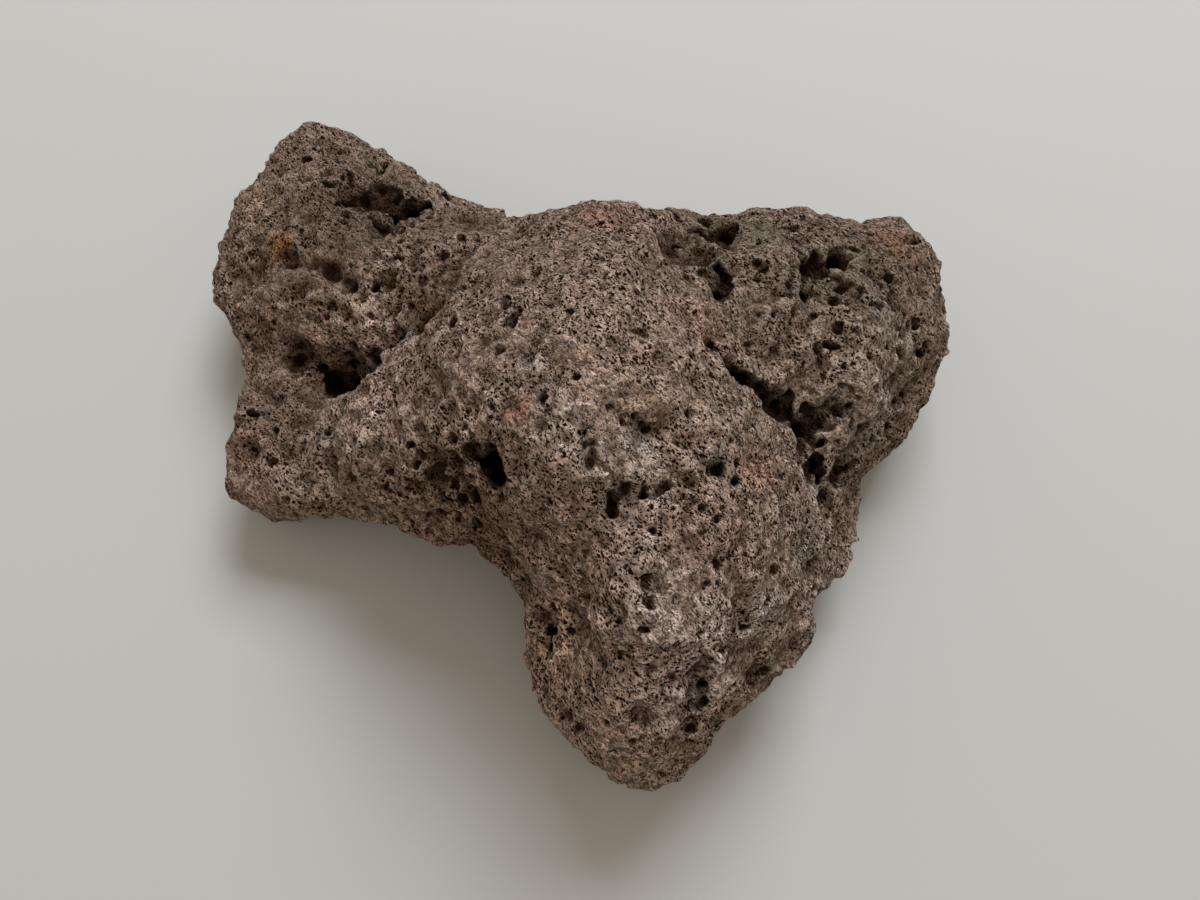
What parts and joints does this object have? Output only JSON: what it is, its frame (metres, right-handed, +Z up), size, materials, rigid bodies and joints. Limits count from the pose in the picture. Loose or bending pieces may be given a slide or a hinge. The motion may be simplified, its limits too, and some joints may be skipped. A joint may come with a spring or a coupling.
{
  "type": "lava rock",
  "caption": "Natural piece of porous purple-brown lava rock with a domed body, spreading lobes, cracks and burst gas bubbles, for an aquarium, garden or display.",
  "frame": {"origin": "on the ground under the middle of the stone's box, as it rests on its feet", "axes": "+X along the stone's longest side towards the wide lobe, +Y towards the back left arm, +Z up"},
  "size_m": [0.1518, 0.138, 0.0612],
  "materials": {
    "scoria": "matte"
  },
  "bodies": {
    "root": {"lava_rock": "scoria"}
  },
  "joints": []
}
